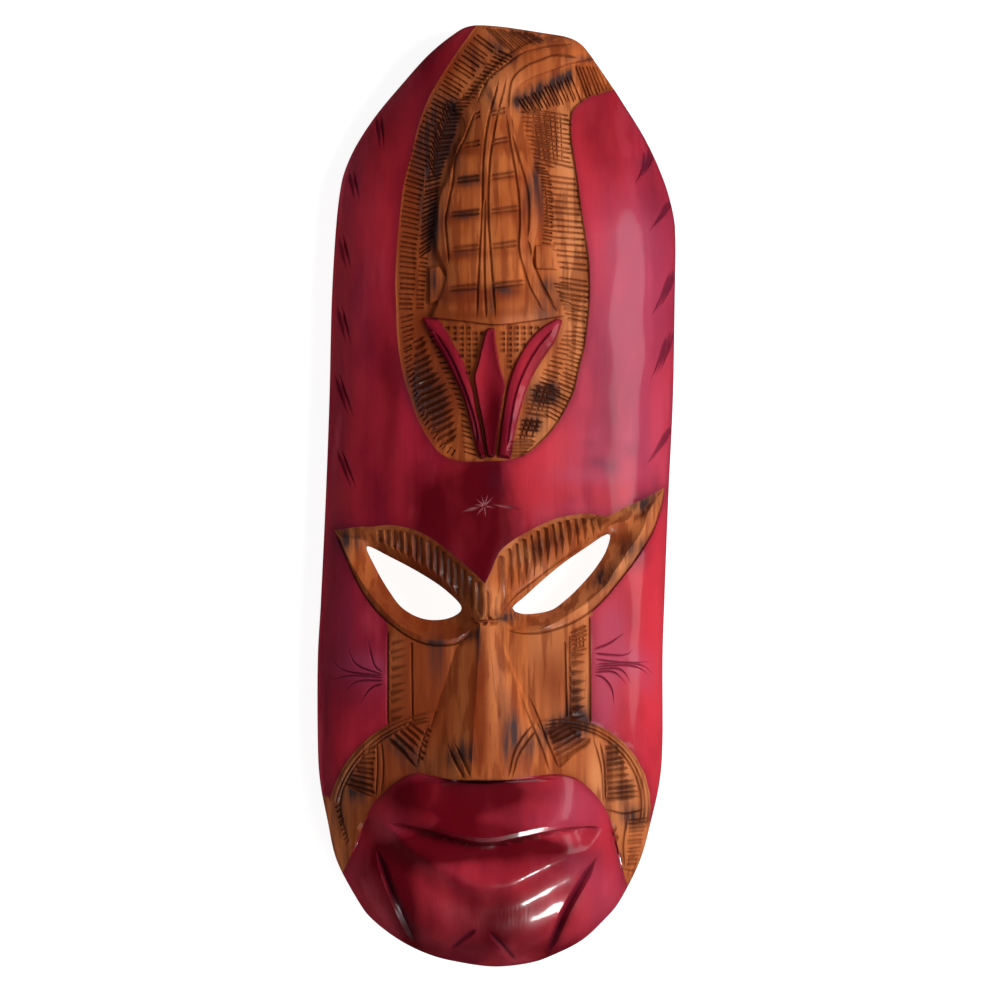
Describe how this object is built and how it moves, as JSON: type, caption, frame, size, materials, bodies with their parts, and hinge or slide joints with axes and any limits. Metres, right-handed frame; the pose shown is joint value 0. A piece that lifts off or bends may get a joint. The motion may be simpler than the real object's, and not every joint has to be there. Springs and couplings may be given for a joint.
{
  "type": "carved wooden face mask",
  "caption": "Long carved wooden face mask with a hollow back, slanted open eyes, a wedge nose, a swollen mouth and a lizard relief sunk in its forehead",
  "frame": {"origin": "middle of the flat ring on the mask's back, on the plane that it lies on", "axes": "+X to the right of someone looking at the face, +Y to the crown, +Z out of the face"},
  "size_m": [0.1908, 0.5001, 0.067],
  "materials": {
    "stained_wood": "carved wood, dyed crimson and stained golden brown in areas, scorched here and there and varnished to a gloss; raw wood behind"
  },
  "bodies": {
    "root": {"mask": "stained_wood"}
  },
  "joints": []
}
